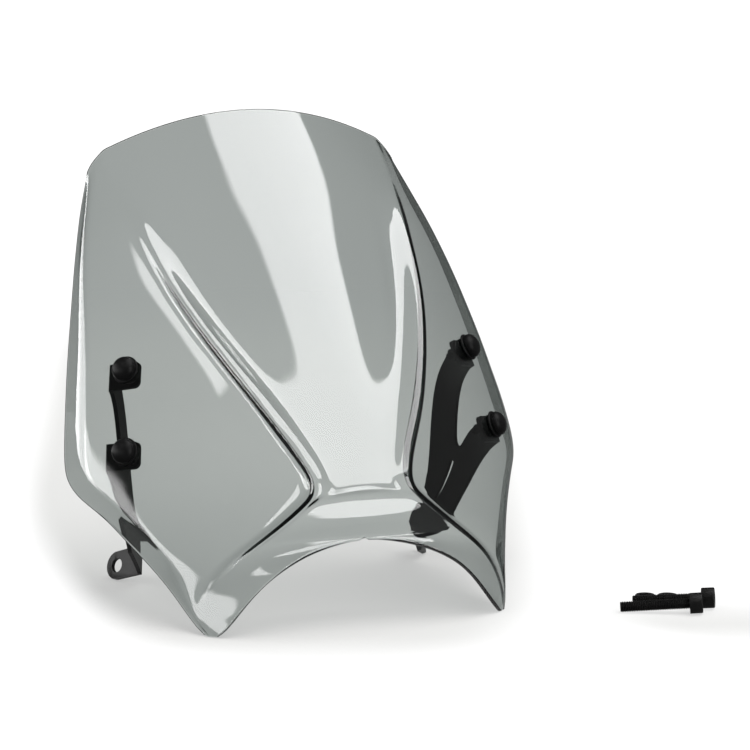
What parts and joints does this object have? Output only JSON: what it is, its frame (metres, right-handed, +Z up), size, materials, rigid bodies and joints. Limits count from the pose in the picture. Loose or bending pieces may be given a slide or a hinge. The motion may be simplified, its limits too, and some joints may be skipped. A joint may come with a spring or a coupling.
{
  "type": "motorcycle windshield screen",
  "caption": "Raked smoke acrylic fly screen with ribbed sides and a headlight arch, on Y-shaped steel brackets with capped fixings, with its loose mounting bolts and lock washers.",
  "frame": {"origin": "middle of the ground area the whole set covers, at ground level; the screen's centre plane is x = -0.0433 m", "axes": "+Z up, the front face of the screen looks towards -Y and leans back towards +Y, +X is towards the loose bolts"},
  "size_m": [0.4332, 0.3232, 0.3422],
  "materials": {
    "acrylic": "light smoke transparent acrylic, polished",
    "bracket_coat": "matt black powder coat with a fine texture",
    "cap_gloss": "gloss black moulded cap",
    "washer_gloss": "gloss black moulded cup washer",
    "rubber": "matt black rubber",
    "zinc_black": "black zinc plated steel",
    "bolt_black": "black oxide steel"
  },
  "bodies": {
    "screen_set": {"windscreen": "acrylic", "bracket_right": "bracket_coat", "bracket_left": "bracket_coat", "cup_washer_upper_right": "washer_gloss", "bush_upper_right": "rubber", "nut_upper_right": "zinc_black", "cup_washer_upper_left": "washer_gloss", "bush_upper_left": "rubber", "nut_upper_left": "zinc_black", "cup_washer_lower_right": "washer_gloss", "bush_lower_right": "rubber", "nut_lower_right": "zinc_black", "cup_washer_lower_left": "washer_gloss", "bush_lower_left": "rubber", "nut_lower_left": "zinc_black"},
    "snap_cap_upper_right": {"cap_upper_right": "cap_gloss"},
    "screw_body_upper_right": {"screw_upper_right": "zinc_black"},
    "snap_cap_upper_left": {"cap_upper_left": "cap_gloss"},
    "screw_body_upper_left": {"screw_upper_left": "zinc_black"},
    "snap_cap_lower_right": {"cap_lower_right": "cap_gloss"},
    "screw_body_lower_right": {"screw_lower_right": "zinc_black"},
    "snap_cap_lower_left": {"cap_lower_left": "cap_gloss"},
    "screw_body_lower_left": {"screw_lower_left": "zinc_black"},
    "mount_bolt_front_loose": {"mount_bolt_front": "bolt_black"},
    "mount_bolt_rear_loose": {"mount_bolt_rear": "bolt_black"},
    "lock_washer_a_loose": {"lock_washer_a": "bolt_black"},
    "lock_washer_b_loose": {"lock_washer_b": "bolt_black"}
  },
  "joints": [
    {"name": "cap_pull_upper_right", "type": "slide", "parent": "screen_set", "child": "snap_cap_upper_right", "axis": [0.6706, -0.5718, 0.4727], "range_m": [0, 0.012]},
    {"name": "screw_turn_upper_right", "type": "hinge", "parent": "screen_set", "child": "screw_body_upper_right", "pos_m": [0.0896, 0.02961, 0.17081], "axis": [0.6706, -0.5718, 0.4727], "continuous": true},
    {"name": "cap_pull_upper_left", "type": "slide", "parent": "screen_set", "child": "snap_cap_upper_left", "axis": [-0.6706, -0.5718, 0.4727], "range_m": [0, 0.012]},
    {"name": "screw_turn_upper_left", "type": "hinge", "parent": "screen_set", "child": "screw_body_upper_left", "pos_m": [-0.1762, 0.02961, 0.17081], "axis": [-0.6706, -0.5718, 0.4727], "continuous": true},
    {"name": "cap_pull_lower_right", "type": "slide", "parent": "screen_set", "child": "snap_cap_lower_right", "axis": [0.6962, -0.6126, 0.3741], "range_m": [0, 0.012]},
    {"name": "screw_turn_lower_right", "type": "hinge", "parent": "screen_set", "child": "screw_body_lower_right", "pos_m": [0.09938, 0.00072, 0.11679], "axis": [0.6962, -0.6126, 0.3741], "continuous": true},
    {"name": "cap_pull_lower_left", "type": "slide", "parent": "screen_set", "child": "snap_cap_lower_left", "axis": [-0.6962, -0.6126, 0.3741], "range_m": [0, 0.012]},
    {"name": "screw_turn_lower_left", "type": "hinge", "parent": "screen_set", "child": "screw_body_lower_left", "pos_m": [-0.18598, 0.00072, 0.11679], "axis": [-0.6962, -0.6126, 0.3741], "continuous": true},
    {"name": "mount_bolt_front_lift", "type": "slide", "parent": "screen_set", "child": "mount_bolt_front_loose", "axis": [0, 0, 1], "range_m": [0, 0.06]},
    {"name": "mount_bolt_rear_lift", "type": "slide", "parent": "screen_set", "child": "mount_bolt_rear_loose", "axis": [0, 0, 1], "range_m": [0, 0.06]},
    {"name": "lock_washer_a_lift", "type": "slide", "parent": "screen_set", "child": "lock_washer_a_loose", "axis": [0, 0, 1], "range_m": [0, 0.04]},
    {"name": "lock_washer_b_lift", "type": "slide", "parent": "screen_set", "child": "lock_washer_b_loose", "axis": [0, 0, 1], "range_m": [0, 0.04]}
  ]
}
